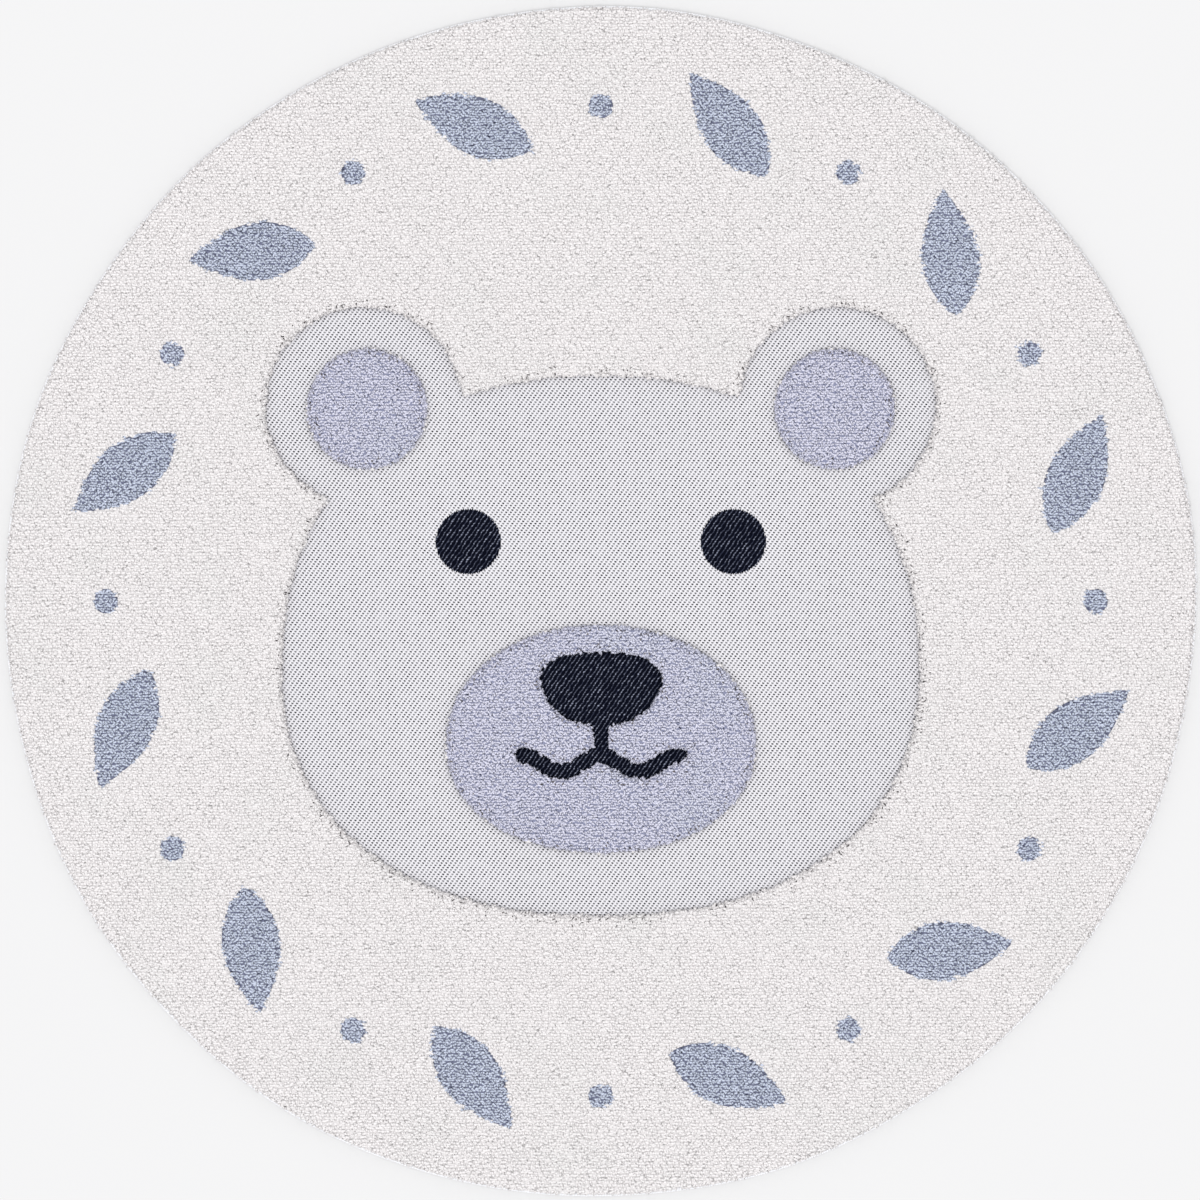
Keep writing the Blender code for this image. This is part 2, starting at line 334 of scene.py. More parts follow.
def flatweaveCloth(name):
    # Flatwoven polypropylene: a white yarn floats over a dark one that shows as small dots on slanting
    # lines, or a charcoal yarn floats and pale flecks show. Where the colours meet, each warp column ends
    # in a tooth.
    material, tree, shader = newMaterial(name, roughness=0.8, shine=0.05)
    cloth = addNode(tree, "ShaderNodeTexCoord").outputs["Object"]

    # the place counted in columns and rows, the number of its cell, and the place in the cell from 0 to 1
    counted = addNode(tree, "ShaderNodeVectorMath", {"operation": "DIVIDE"},
                      {0: cloth, 1: (weave["column"], weave["row"], 1.0)}).outputs[0]
    counts = addNode(tree, "ShaderNodeSeparateXYZ", None, {0: counted}).outputs
    columns, rows = counts["X"], counts["Y"]
    rowNumber = addNode(tree, "ShaderNodeMath", {"operation": "FLOOR"}, {0: rows}).outputs[0]
    rowPart = addNode(tree, "ShaderNodeMath", {"operation": "FRACT"}, {0: rows}).outputs[0]
    stepped = addNode(tree, "ShaderNodeMath", {"operation": "MULTIPLY_ADD"},
                      {0: rowNumber, 1: -weave["step"], 2: columns}).outputs[0]
    columnNumber = addNode(tree, "ShaderNodeMath", {"operation": "FLOOR"}, {0: stepped}).outputs[0]
    columnPart = addNode(tree, "ShaderNodeMath", {"operation": "FRACT"}, {0: stepped}).outputs[0]
    cell = addNode(tree, "ShaderNodeCombineXYZ", None, {0: columnNumber, 1: rowNumber}).outputs[0]
    luck = addNode(tree, "ShaderNodeTexWhiteNoise", {"noise_dimensions": "2D"},
                   {"Vector": cell}).outputs["Value"]

    # a dot stands in the middle of each cell: a turned oval, measured in its own half length and half width
    inCell = addNode(tree, "ShaderNodeCombineXYZ", None, {0: columnPart, 1: rowPart}).outputs[0]
    fromMiddle = addNode(tree, "ShaderNodeMapping", None,
                         {"Vector": inCell, "Location": (-weave["column"] / 2, -weave["row"] / 2, 0.0),
                          "Scale": (weave["column"], weave["row"], 1.0)}).outputs[0]
    inDot = addNode(tree, "ShaderNodeMapping", {"vector_type": "TEXTURE"},
                    {"Vector": fromMiddle, "Rotation": (0.0, 0.0, weave["dotTurn"]),
                     "Scale": (weave["dotLong"], weave["dotWide"], 1.0)}).outputs[0]
    fromDot = addNode(tree, "ShaderNodeVectorMath", {"operation": "LENGTH"}, {0: inDot}).outputs["Value"]
    dot = addNode(tree, "ShaderNodeMapRange", {"interpolation_type": "SMOOTHSTEP"},
                  {"Value": fromDot, "From Min": weave["dotSoft"][0],
                   "From Max": weave["dotSoft"][1]}).outputs[0]
    darkness = addNode(tree, "ShaderNodeMath", {"operation": "MULTIPLY_ADD"},
                       {0: luck, 1: weave["dotLuck"], 2: 1 - weave["dotLuck"]}).outputs[0]
    dotShown = addNode(tree, "ShaderNodeMath", {"operation": "MULTIPLY"}, {0: dot, 1: darkness}).outputs[0]

    # warp is 0 between two warp columns and 1/4 in the middle of each
    warp = addNode(tree, "ShaderNodeMath", {"operation": "PINGPONG"}, {0: columns, 1: 0.25}).outputs[0]
    between = addNode(tree, "ShaderNodeMath", {"operation": "MULTIPLY_ADD"},
                      {0: warp, 1: -4 * weave["threadShare"], 2: weave["threadShare"]}).outputs[0]
    pale = addNode(tree, "ShaderNodeMix", {"data_type": "RGBA"},
                   {0: between, 6: linear(weave["white"]), 7: linear(weave["thread"])}).outputs[2]

    # nearLine is 1/2 on the slanting lines through the dots, and 0 half-way between two of them
    slanting = addNode(tree, "ShaderNodeMath", {"operation": "MULTIPLY_ADD"},
                       {0: rows, 1: -weave["step"], 2: columns}).outputs[0]
    nearLine = addNode(tree, "ShaderNodeMath", {"operation": "PINGPONG"}, {0: slanting, 1: 0.5}).outputs[0]
    joined = addNode(tree, "ShaderNodeMapRange", {"interpolation_type": "SMOOTHSTEP"},
                     {"Value": nearLine, "From Min": 0.5 - weave["lineEdge"], "From Max": 0.5,
                      "To Max": weave["line"]}).outputs[0]
    lined = addNode(tree, "ShaderNodeMix", {"data_type": "RGBA"},
                    {0: joined, 6: pale, 7: (0.0, 0.0, 0.0, 1.0)}).outputs[2]
    light = addNode(tree, "ShaderNodeMix", {"data_type": "RGBA"},
                    {0: dotShown, 6: lined, 7: linear(weave["dot"])}).outputs[2]

    # in the charcoal the lines wander, and each has one fleck a row, bright or dim by its own luck and run
    runs = addNode(tree, "ShaderNodeTexNoise", None,
                   {"Vector": cloth, "Scale": 1 / weave["runLength"]}).outputs["Fac"]
    wandered = addNode(tree, "ShaderNodeMath", {"operation": "MULTIPLY_ADD"},
                       {0: runs, 1: weave["fleckWander"], 2: slanting}).outputs[0]
    nearFlecks = addNode(tree, "ShaderNodeMath", {"operation": "PINGPONG"},
                         {0: wandered, 1: 0.5}).outputs[0]
    line = addNode(tree, "ShaderNodeMapRange", {"interpolation_type": "SMOOTHSTEP"},
                   {"Value": nearFlecks, "From Min": 0.5 - weave["fleckEdge"][0],
                    "From Max": 0.5 - weave["fleckEdge"][1]}).outputs[0]
    run = addNode(tree, "ShaderNodeMapRange", None,
                  {"Value": runs, "From Min": weave["runShare"][0], "From Max": weave["runShare"][1],
                   "To Min": weave["runLeast"]}).outputs[0]
    beat = addNode(tree, "ShaderNodeMath", {"operation": "PINGPONG"}, {0: rows, 1: 0.5}).outputs[0]
    onLine = addNode(tree, "ShaderNodeMath", {"operation": "MULTIPLY"}, {0: line, 1: beat}).outputs[0]
    byLuck = addNode(tree, "ShaderNodeMath", {"operation": "MULTIPLY"}, {0: luck, 1: run}).outputs[0]
    halfShown = addNode(tree, "ShaderNodeMath", {"operation": "MULTIPLY"},
                        {0: onLine, 1: byLuck}).outputs[0]
    fleckShown = addNode(tree, "ShaderNodeMath", {"operation": "MULTIPLY"},
                         {0: halfShown, 1: 2.0}).outputs[0]
    floats = addNode(tree, "ShaderNodeMix", {"data_type": "RGBA"},
                     {0: line, 6: linear(weave["charcoal"]), 7: linear(weave["charcoalLight"])}).outputs[2]
    dark = addNode(tree, "ShaderNodeMix", {"data_type": "RGBA"},
                   {0: fleckShown, 6: floats, 7: linear(weave["fleck"])}).outputs[2]

    # the charcoal's edge reaches a tooth further in the middle of each warp column than between two
    inside = addNode(tree, "ShaderNodeAttribute", {"attribute_name": "charcoal"}).outputs["Fac"]
    toothed = addNode(tree, "ShaderNodeMath", {"operation": "MULTIPLY_ADD"},
                      {0: warp, 1: 4 * weave["tooth"], 2: inside}).outputs[0]
    isDark = addNode(tree, "ShaderNodeMapRange", {"interpolation_type": "SMOOTHSTEP"},
                     {"Value": toothed, "From Min": weave["tooth"] / 2 - weave["toothSoft"],
                      "From Max": weave["tooth"] / 2 + weave["toothSoft"]}).outputs[0]
    colour = addNode(tree, "ShaderNodeMix", {"data_type": "RGBA"}, {0: isDark, 6: light, 7: dark})
    tree.links.new(colour.outputs[2], shader.inputs["Base Color"])

    ribbed = addNode(tree, "ShaderNodeMath", {"operation": "MULTIPLY"},
                     {0: warp, 1: 4 * weave["warpRelief"]}).outputs[0]
    relief = addNode(tree, "ShaderNodeMath", {"operation": "SUBTRACT"}, {0: ribbed, 1: dot}).outputs[0]
    bump = addNode(tree, "ShaderNodeBump", None,
                   {"Height": relief, "Strength": weave["reliefStrength"], "Distance": weave["relief"]})
    tree.links.new(bump.outputs[0], shader.inputs["Normal"])
    return material


back = {
    "weft": 3.0 * mm, "warp": 3.1 * mm, "unevenness": 0.6,
    "jute": "#A99C88", "size": "#D8CFBF",
    "relief": 0.6 * mm, "reliefStrength": 0.6,
}


def wovenBack(name):
    # Jute and polypropylene backing: a plain weave of 3 mm, stiffened with size, so it looks flat and dry.
    material, tree, shader = newMaterial(name, roughness=0.9)
    place = addNode(tree, "ShaderNodeTexCoord").outputs["Object"]
    weft = addNode(tree, "ShaderNodeTexWave", {"bands_direction": "Y"},
                   {"Vector": place, "Scale": bands / back["weft"],
                    "Distortion": back["unevenness"]}).outputs["Fac"]
    warp = addNode(tree, "ShaderNodeTexWave", {"bands_direction": "X"},
                   {"Vector": place, "Scale": bands / back["warp"],
                    "Distortion": back["unevenness"]}).outputs["Fac"]
    both = addNode(tree, "ShaderNodeMath", {"operation": "MULTIPLY"}, {0: weft, 1: warp}).outputs[0]
    mixed = addNode(tree, "ShaderNodeMix", {"data_type": "RGBA"},
                    {0: both, 6: linear(back["jute"]), 7: linear(back["size"])})
    tree.links.new(mixed.outputs[2], shader.inputs["Base Color"])
    bump = addNode(tree, "ShaderNodeBump", None,
                   {"Height": both, "Strength": back["reliefStrength"], "Distance": back["relief"]})
    tree.links.new(bump.outputs[0], shader.inputs["Normal"])
    return material


thread = {
    # between is the painted shade where two turns meet, bright the yarn's own white
    "between": "#E4E4E8", "bright": "#FCFCFD",
    "fibre": 0.6 * mm, "relief": 0.2 * mm, "reliefStrength": 0.3,
}


def edgeYarn(name):
    # Spun polyester overlock yarn: bright, slightly glossy turns that lie side by side, with shade painted
    # where they meet. Its fibres are too fine to show, and are drawn 0.6 mm thick.
    material, tree, shader = newMaterial(name, roughness=0.6, sheen=0.1)
    ridge = addNode(tree, "ShaderNodeAttribute", {"attribute_name": "tone"}).outputs["Fac"]
    mixed = addNode(tree, "ShaderNodeMix", {"data_type": "RGBA"},
                    {0: ridge, 6: linear(thread["between"]), 7: linear(thread["bright"])})
    tree.links.new(mixed.outputs[2], shader.inputs["Base Color"])
    place = addNode(tree, "ShaderNodeTexCoord").outputs["Object"]
    fibres = addNode(tree, "ShaderNodeTexNoise", None,
                     {"Vector": place, "Scale": 1 / thread["fibre"], "Detail": 1.0}).outputs["Fac"]
    bump = addNode(tree, "ShaderNodeBump", None,
                   {"Height": fibres, "Strength": thread["reliefStrength"], "Distance": thread["relief"]})
    tree.links.new(bump.outputs[0], shader.inputs["Normal"])
    return material


creamYarn = pileYarn("cream_pile_yarn", *pileColours["cream"])
greyYarn = pileYarn("blue_grey_pile_yarn", *pileColours["blueGrey"])
lilacYarn = pileYarn("lilac_grey_pile_yarn", *pileColours["lilac"])
fleckYarn = pileYarn("dark_ground_yarn", *pileColours["darkGround"])
creamBed = pileBed("cream_pile_bed", *bedColours["cream"])
greyBed = pileBed("blue_grey_pile_bed", *bedColours["blueGrey"])
lilacBed = pileBed("lilac_grey_pile_bed", *bedColours["lilac"])
flatCloth = flatweaveCloth("flatweave")
backCloth = wovenBack("woven_back")
edgeThread = edgeYarn("edge_yarn")
print("materials made")


def addPiece(name, points, faces, material, attributes=None):
    # points (n, 3) and faces (m, 3 or 4) go straight into a smooth mesh; attributes are one number a point
    mesh = bpy.data.meshes.new(name)
    corners = faces.shape[1]
    mesh.vertices.add(len(points))
    mesh.vertices.foreach_set("co", np.ascontiguousarray(points, np.float32).ravel())
    mesh.loops.add(faces.size)
    mesh.loops.foreach_set("vertex_index", np.ascontiguousarray(faces, np.int32).ravel())
    mesh.polygons.add(len(faces))
    mesh.polygons.foreach_set("loop_start", np.arange(len(faces), dtype=np.int32) * corners)
    mesh.polygons.foreach_set("use_smooth", np.ones(len(faces), bool))
    mesh.update(calc_edges=True)
    for key, values in (attributes or {}).items():
        layer = mesh.attributes.new(key, "FLOAT", "POINT")
        layer.data.foreach_set("value", np.ascontiguousarray(values, np.float32))
    mesh.materials.append(material)
    piece = bpy.data.objects.new(name, mesh)
    bpy.context.scene.collection.objects.link(piece)
    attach(piece, "root")
    print(name, len(faces), "faces")
    return piece


ground = {
    "bedHeight": 11.3 * mm,        # top of the pile's closed bed, a little under the curls' tops
    "floorHeight": 4.0 * mm,       # of the sunken face in the solid
    "floorDrop": 0.8 * mm,         # how far that floor is lowered to take the flatweave
    "floorFromRim": 0.05,          # the rim's lip is as high as that floor, but nearer the rim than this
    "lipInset": 5.4 * mm,          # how far the lip is drawn in to make room for the edge yarn
    "lipAbove": 1.0 * mm,
    "backBelow": 2.0 * mm,         # faces lower than this are backing
    "padMargin": 1.0 * mm,         # how far the lilac bed goes on past the muzzle's and ear pads' outline
    "sameHeight": 0.05 * mm, "samePoint": 0.01 * mm,
}


def wovenGround():
    # A merged copy of the solid, for the backing and the pile's stems. Heights above its floor are scaled
    # so that the top comes down to the bed's height, and the floor and the lip move as given above.
    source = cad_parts["woven_rug"]
    shell = bmesh.new()
    shell.from_mesh(source.data)
    bmesh.ops.remove_doubles(shell, verts=shell.verts, dist=ground["samePoint"])
    mesh = bpy.data.meshes.new("woven_ground")
    shell.to_mesh(mesh)
    shell.free()
    mesh.materials.clear()
    for material in (creamBed, lilacBed, backCloth):
        mesh.materials.append(material)

    flat = np.empty(len(mesh.vertices) * 3, np.float32)
    mesh.vertices.foreach_get("co", flat)
    points = flat.reshape(-1, 3)
    x, y, z = points.T.copy()
    pileTop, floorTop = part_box("woven_rug")[1].z, ground["floorHeight"]
    rim = rimDepth(x, y)
    high = z > floorTop + ground["sameHeight"]
    bedRise, pileRise = ground["bedHeight"] - floorTop, pileTop - floorTop
    points[high, 2] = floorTop + (z[high] - floorTop) * bedRise / pileRise
    floor = (np.abs(z - floorTop) < ground["sameHeight"]) & (rim > ground["floorFromRim"])
    points[floor, 2] -= ground["floorDrop"]
    lip = (rim < ground["lipInset"]) & (z > ground["lipAbove"])
    pull = (ground["lipInset"] - rim[lip]) / np.hypot(x[lip], y[lip])
    points[lip, 0] -= x[lip] * pull
    points[lip, 1] -= y[lip] * pull
    mesh.vertices.foreach_set("co", points.ravel())

    centres = np.empty(len(mesh.polygons) * 3, np.float32)
    mesh.polygons.foreach_get("center", centres)
    x, y, z = centres.reshape(-1, 3).T
    kind = np.where((islandDepth(x, y) > -ground["padMargin"]) & (z > floorTop), 1, 0)
    kind = np.where(z < ground["backBelow"], 2, kind)
    mesh.polygons.foreach_set("material_index", kind.astype(np.int32))
    mesh.polygons.foreach_set("use_smooth", np.zeros(len(kind), bool))
    mesh.update()
    piece = bpy.data.objects.new("woven_ground", mesh)
    bpy.context.scene.collection.objects.link(piece)
    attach(piece, "root")
    print("woven_ground", len(kind), "faces")
    return piece


groundPiece = wovenGround()

flatweave = {
    "top": 4.0 * mm, "bottom": 2.9 * mm,
    "under": 8.0 * mm,             # how far it goes on under the pile's edge
    "reach": 0.5,                  # how far its grid reaches from the rug's middle
    "cellColumns": 2, "cellRows": 4,
}


def faceCloth():
    # A closed slab over the kept cells of a grid, each two columns by four rows of the weave: its top, its
    # bottom, and a wall along every side with no neighbour. A cell is kept where the face is open, and for
    # a little way under the pile.
    spanX, spanY = weave["column"] * flatweave["cellColumns"], weave["row"] * flatweave["cellRows"]
    columns, rows = (2 * int(flatweave["reach"] / span) for span in (spanX, spanY))
    gridY, gridX = np.mgrid[0:rows, 0:columns]
    x, y = (gridX + 0.5 - columns / 2) * spanX, (gridY + 0.5 - rows / 2) * spanY
    keep = pileDepth(x, y) < flatweave["under"]
    keep &= faceDepth(x, y) > -flatweave["under"]

    index = np.arange((rows + 1) * (columns + 1)).reshape(rows + 1, columns + 1)
    a, b, c, d = index[:-1, :-1], index[:-1, 1:], index[1:, 1:], index[1:, :-1]
    upper = np.stack([a, b, c, d], -1)[keep]
    lower = (np.stack([a, d, c, b], -1) + index.size)[keep]
    padded = np.pad(keep, 1)
    walls = []
    for (dy, dx), (p, q) in (((-1, 0), (b, a)), ((1, 0), (d, c)), ((0, -1), (a, d)), ((0, 1), (c, b))):
        lone = keep & ~padded[1 + dy:rows + 1 + dy, 1 + dx:columns + 1 + dx]
        walls.append(np.stack([p, q, q + index.size, p + index.size], -1)[lone])
    used, faces = np.unique(np.concatenate([upper, lower, *walls]), return_inverse=True)

    gridY, gridX = np.mgrid[0:rows + 1, 0:columns + 1]
    x, y = (gridX - columns / 2) * spanX, (gridY - rows / 2) * spanY
    points = np.concatenate([np.stack([x, y, np.full(x.shape, height)], -1).reshape(-1, 3)
                             for height in (flatweave["top"], flatweave["bottom"])])[used]
    x, y = points[:, 0], points[:, 1]
    charcoal = np.maximum(noseAndMouthDepth(x, y), ovalDepth(x, y, eye))
    return addPiece("face_flatweave", points, faces.reshape(-1, 4), flatCloth,
                    {"charcoal": charcoal})


facePiece = faceCloth()

bed = {"leafSteps": 20, "berrySteps": 8, "slices": 4, "ends": 0.02, "rise": 0.1 * mm, "thickness": 1.1 * mm}


def berryHalfWidth(along):
    # half the height of a circle: size sqrt(1 - (2 along - 1)^2)
    return wreath["berrySize"] * np.sqrt(1 - (2 * along - 1) ** 2)


def slabGrid(steps, length, halfWidthAt):
    # one low slab in its own measures, a grid of steps from end to end and of slices across its width:
    # forward and aside for each point, and the faces of its top, its bottom and the wall round it
    along, side = np.meshgrid(np.linspace(bed["ends"], 1 - bed["ends"], steps + 1),
                              np.linspace(-1, 1, bed["slices"] + 1), indexing="ij")
    index = np.arange(along.size).reshape(along.shape)
    top = np.stack([index[:-1, :-1], index[1:, :-1], index[1:, 1:], index[:-1, 1:]], -1).reshape(-1, 4)
    outline = np.concatenate([index[:, 0], index[-1, 1:], index[-2::-1, -1], index[0, -2:0:-1]])
    after = np.roll(outline, -1)
    walls = np.stack([outline, outline + along.size, after + along.size, after], -1)
    faces = np.concatenate([top, top[:, ::-1] + along.size, walls])
    return (along - 0.5) * length, side * halfWidthAt(along), faces


def wreathBeds():
    # low slabs that give the blue-grey pile its own bed, darkened with painted shadow: each is turned by
    # its tilt, set at its radius, and turned round the rug's middle to its own place
    leaf = slabGrid(bed["leafSteps"], wreath["length"], leafHalfWidth)
    berry = slabGrid(bed["berrySteps"], 2 * wreath["berrySize"], berryHalfWidth)
    sector = 2 * math.pi / wreath["leaves"]
    top = ground["bedHeight"] + bed["rise"]
    points, allFaces, used = [], [], 0
    for (forward, aside, faces), radius, tilt, firstAt in (
            (leaf, wreath["radius"], wreath["tilt"], wreath["firstAt"]),
            (berry, wreath["berryRadius"], 0.0, wreath["berryAt"])):
        outward = radius + forward * math.cos(tilt) - aside * math.sin(tilt)
        sideways = forward * math.sin(tilt) + aside * math.cos(tilt)
        for place in range(wreath["leaves"]):
            angle = firstAt + place * sector
            x = outward * math.cos(angle) - sideways * math.sin(angle)
            y = outward * math.sin(angle) + sideways * math.cos(angle)
            for height in (top, top - bed["thickness"]):
                points.append(np.stack([x, y, np.full(x.shape, height)], -1).reshape(-1, 3))
            allFaces.append(faces + used)
            used += 2 * x.size
    return addPiece("leaf_beds", np.concatenate(points), np.concatenate(allFaces), greyBed)


bedPiece = wreathBeds()

curl = {
    "length": (8.5 * mm, 12.0 * mm),
    "halfWidth": (1.35 * mm, 1.7 * mm),
    "flatness": 0.4,                    # its section's height against its width
    "bend": 1.6 * mm,                   # its middle stands to one side of its ends by this, times a chance
    "bendMost": 1.2,                    # number no greater than this
    "dip": (0.15 * mm, 0.7 * mm),       # how far its ends sink below its middle
    "toneSpread": 0.3,                  # how much darker than the lightest a curl may be
    "mapLength": 200,                   # on the yarn's map each starts at its own place, up to this
    "perPiece": 16500,
}


def curlPoints(x, y, top, heading, length, bend, dipNear, dipFar, halfWidth):
    # A curl from end to end, s from 0 to 1. In plan it runs (s - 1/2) length along its heading and
    # bend (1 - (2 s - 1)^2) to its side. In height it is a hump, its top less dip (2 s - 1)^2, with its own
    # dip at each end. It has a point at each end and one pair of opposite corners of its square section at
    # each of three places between, turned by a quarter from one to the next, like plies of twisted yarn.
    s = np.array([0.0, 0.17, 0.17, 0.5, 0.5, 0.83, 0.83, 1.0])[None, :]
    right = np.array([0.0, 1.0, -1.0, -1.0, 1.0, 1.0, -1.0, 0.0])[None, :, None]
    above = np.array([0.0, 1.0, -1.0, 1.0, -1.0, 1.0, -1.0, 0.0])[None, :, None]
    u = 2 * s - 1
    forward = (s - 0.5) * length[:, None]
    aside = bend[:, None] * (1 - u ** 2)
    dip = np.where(u < 0, dipNear[:, None], dipFar[:, None])
    cos, sin = np.cos(heading)[:, None], np.sin(heading)[:, None]
    centre = np.stack([x[:, None] + forward * cos - aside * sin, y[:, None] + forward * sin + aside * cos,
                       (top - curl["flatness"] * halfWidth)[:, None] - dip * u ** 2], -1)
    slopeAside, slopeUp = -4 * u * bend[:, None], -4 * u * dip
    ahead = np.stack([length[:, None] * cos - slopeAside * sin, length[:, None] * sin + slopeAside * cos,
                      slopeUp], -1)
    ahead /= np.linalg.norm(ahead, axis=-1, keepdims=True)
    side = np.cross(ahead, [0.0, 0.0, 1.0])
    side /= np.linalg.norm(side, axis=-1, keepdims=True)
    up = np.cross(side, ahead)
    return centre + halfWidth[:, None, None] * (right * side + curl["flatness"] * above * up)


# each end's point is joined to the four corners nearest it, and the first and last pairs to the middle one
curlFaces = np.array([[0, 1, 3], [0, 3, 2], [0, 2, 4], [0, 4, 1], [7, 5, 4], [7, 4, 6],
                      [7, 6, 3], [7, 3, 5], [1, 5, 3], [1, 4, 5], [2, 3, 6], [2, 6, 4]])
curlCorners = 8
cornerShadeTone = np.array([0.0, 1, 1, 1, 1, 1, 1, 0])               # painted shade: a curl's ends take the yarn's darker colour, as if down in the pile's shadow
cornerAlong = np.array([0, 1.7, 1.7, 5, 5, 8.3, 8.3, 10.0])     # each corner's place on the yarn's own map
cornerAround = np.array([0, 0, 1.8, 0.9, 2.7, 0, 1.8, 0])


def curlMesh(count):
    # the faces of so many curls, whose corners follow one another
    return (curlFaces[None] + curlCorners * np.arange(count)[:, None, None]).reshape(-1, 3)


sowing = {
    "columns": 5.9 * mm, "rows": 4.3 * mm,      # between neighbouring curls on the open pile
    "shift": 0.2,                               # how far each is moved by chance, as a share of these
    "fine": 0.8,                                # the coloured yarns' curls against the cream ones
    "lie": (0.24, 0.45),                        # radians most cream and coloured curls turn from the weft
    "bendSpread": 0.55,
    "rise": 0.3 * mm,                           # the highest curls' tops above the pile's top
    "topSpread": 0.3 * mm, "topSkew": 1.3,      # the lowest ones' tops below the highest
    "strayed": 1.6 * mm,                        # how far most may stand past the line between two colours
    "padMargin": 2.0 * mm,                      # how far the lilac yarn goes on past the islands' outline
    "edgeStart": -0.1 * mm, "rimStart": 4.2 * mm,
    "ragged": 1.0 * mm, "raggedFrom": -0.3,
    "shoulder": 2.6 * mm,                       # how far the pile's top rounds off at an edge
    "leanZone": 5.0 * mm, "leanShare": 0.4,     # near an edge some hang over it
    "leanSpread": 0.6, "leanDip": 2.0 * mm,
}
wander = {
    "reach": 3.0 * mm, "length": 18.0 * mm, "stretch": 1.2,
    "slip": (2.1, 1.7), "slipLength": (1.6, 1.9),
}


def lattice(columnStep, rowStep):
    # a lattice over the rug's square, every other row moved by half a step and each point moved by chance
    reach = rimRadii.max()
    rows, columns = np.arange(-reach, reach, rowStep), np.arange(-reach, reach, columnStep)
    x, y = np.meshgrid(columns, rows)
    x = x + (np.arange(len(rows)) % 2)[:, None] * columnStep / 2
    shift = chance.uniform(-sowing["shift"], sowing["shift"], (2,) + x.shape)
    return (x + shift[0] * columnStep).ravel(), (y + shift[1] * rowStep).ravel()


def edgeWander(x, y):
    # how far the pile's edge stands out over its bed, as each row of the weave ends on a whole tuft: the
    # product of two sine waves of about 20 mm, each of which slips sideways with a slower one, where that
    # is above zero
    turnX, turnY = 2 * np.pi * x / wander["length"], 2 * np.pi * y / wander["length"]
    alongX = turnX + wander["slip"][0] * np.sin(turnY / wander["slipLength"][0])
    alongY = turnY / wander["stretch"] + wander["slip"][1] * np.sin(turnX / wander["slipLength"][1])
    return wander["reach"] * np.maximum(np.sin(alongX) * np.sin(alongY), 0)


def pileReach(x, y):
    # metres inside the pile, its rim counted from where the edge yarn starts
    inner = pileDepth(x, y) - sowing["edgeStart"] + edgeWander(x, y)
    return np.minimum(inner, rimDepth(x, y) - sowing["rimStart"])


def downhill(x, y):
    # the way out of the pile: minus the slope of pileReach, as an angle
    step = 0.5 * mm
    slopeX = pileReach(x + step, y) - pileReach(x - step, y)
    slopeY = pileReach(x, y + step) - pileReach(x, y - step)
    return np.arctan2(-slopeY, -slopeX)


def colourAt(x, y):
    # the pile's yarn at each point: 0 cream, 1 blue-grey in the wreath, 2 lilac in the muzzle and ears
    stray = chance.normal(0, sowing["strayed"], len(x))
    return np.where(islandDepth(x, y) > -sowing["padMargin"], 2, np.where(wreathDepth(x, y) > stray, 1, 0))


def openCurls(scale, coloured):
    # the whole pile in curls of one scale, of which those of the cream or of the coloured yarns are kept
    x, y = lattice(sowing["columns"] * scale, sowing["rows"] * scale)
    depth = pileReach(x, y)
    start = chance.uniform(sowing["raggedFrom"], 1, len(x)) * sowing["ragged"]
    colour = colourAt(x, y)
    keep = (depth > start) & ((colour > 0) == coloured)
    x, y, depth, colour = x[keep], y[keep], depth[keep], colour[keep]
    count = len(x)
    nearEdge = np.clip(1 - depth / sowing["leanZone"], 0, 1)
    heading = chance.normal(0, sowing["lie"][int(coloured)], count) + np.pi * chance.integers(0, 2, count)
    leaning = chance.random(count) < nearEdge * sowing["leanShare"]
    heading = np.where(leaning, downhill(x, y) + chance.normal(0, sowing["leanSpread"], count), heading)
    length = chance.uniform(*curl["length"], count) * scale
    bend = chance.normal(0, sowing["bendSpread"], count).clip(-curl["bendMost"], curl["bendMost"])
    bend = bend * curl["bend"] * scale
    halfWidth = chance.uniform(*curl["halfWidth"], count) * scale
    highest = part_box("woven_rug")[1].z + sowing["rise"]
    top = highest - sowing["topSpread"] * chance.random(count) ** sowing["topSkew"]
    top = top - sowing["shoulder"] * nearEdge ** 2
    dipNear = chance.uniform(*curl["dip"], count)
    dipFar = chance.uniform(*curl["dip"], count) + leaning * sowing["leanDip"]
    tone = 1 - curl["toneSpread"] * chance.random(count) ** 2
    return curlPoints(x, y, top, heading, length, bend, dipNear, dipFar, halfWidth), colour, tone


wall = {
    "columns": 2.3 * mm, "rows": 1.8 * mm,
    "zone": (-0.8 * mm, 2.2 * mm), "raggedFrom": 0.2,
    "fan": 0.8,                                 # how far, in radians, most turn from the way out
    "length": (5.0 * mm, 8.0 * mm), "bendSpread": 0.5, "slimmer": 0.92,
    "topAt": (-0.8 * mm, 1.5 * mm), "top": (7.5 * mm, 10.8 * mm),      # how their tops rise inwards
    "topSpread": (-1.0 * mm, 0.5 * mm),
    "dipNear": (0.5 * mm, 1.5 * mm), "dipFar": (1.5 * mm, 4.2 * mm),
}


